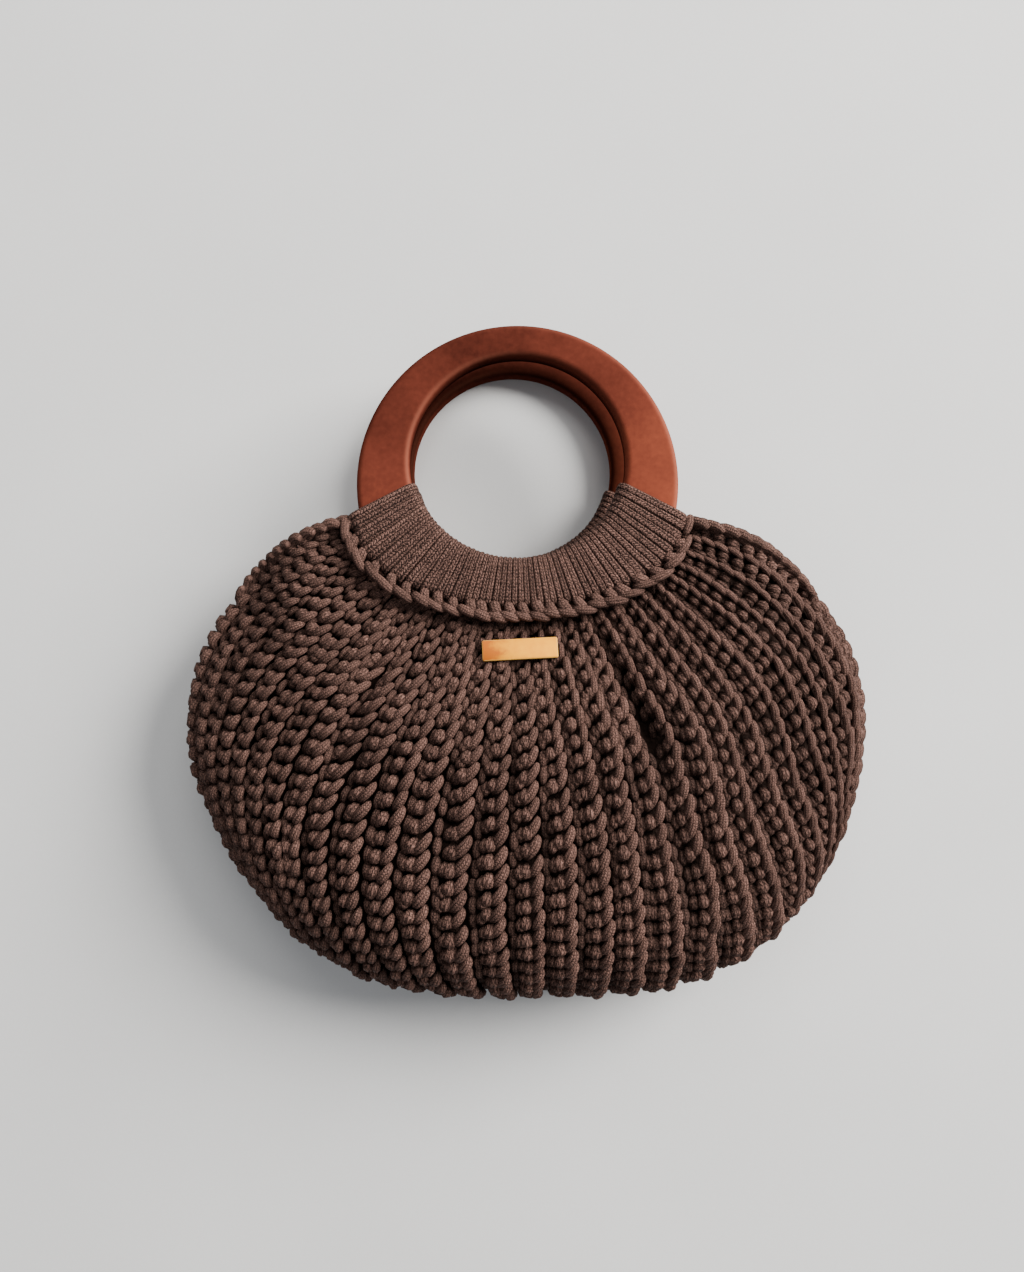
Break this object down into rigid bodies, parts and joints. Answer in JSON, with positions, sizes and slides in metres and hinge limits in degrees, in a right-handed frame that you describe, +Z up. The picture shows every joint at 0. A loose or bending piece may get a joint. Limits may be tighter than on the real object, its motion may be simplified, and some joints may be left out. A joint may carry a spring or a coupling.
{
  "type": "crochet bag",
  "caption": "Rounded crochet handbag of ribbed dark brown cord, lying on its back, hollow with an open mouth between wooden D-shaped handles and a bare tan label below the neck.",
  "frame": {"origin": "centre of the bounding box in plan, on the table that the bag's back lies on", "axes": "+Z up out of the front of the lying bag, +Y from the bottom of the bag to its handles, +X to the right as seen from the front"},
  "size_m": [0.3318, 0.327, 0.086],
  "materials": {
    "cord": "matte knitted cord",
    "handle_wood": "satin lacquer",
    "label_leather": "satin"
  },
  "bodies": {
    "root": {"bag_body": "cord", "neck_wrap_front": "cord", "neck_wrap_back": "cord", "neck_chain_front": "cord", "neck_chain_back": "cord", "handle_front": "handle_wood", "handle_back": "handle_wood", "label": "label_leather"}
  },
  "joints": []
}
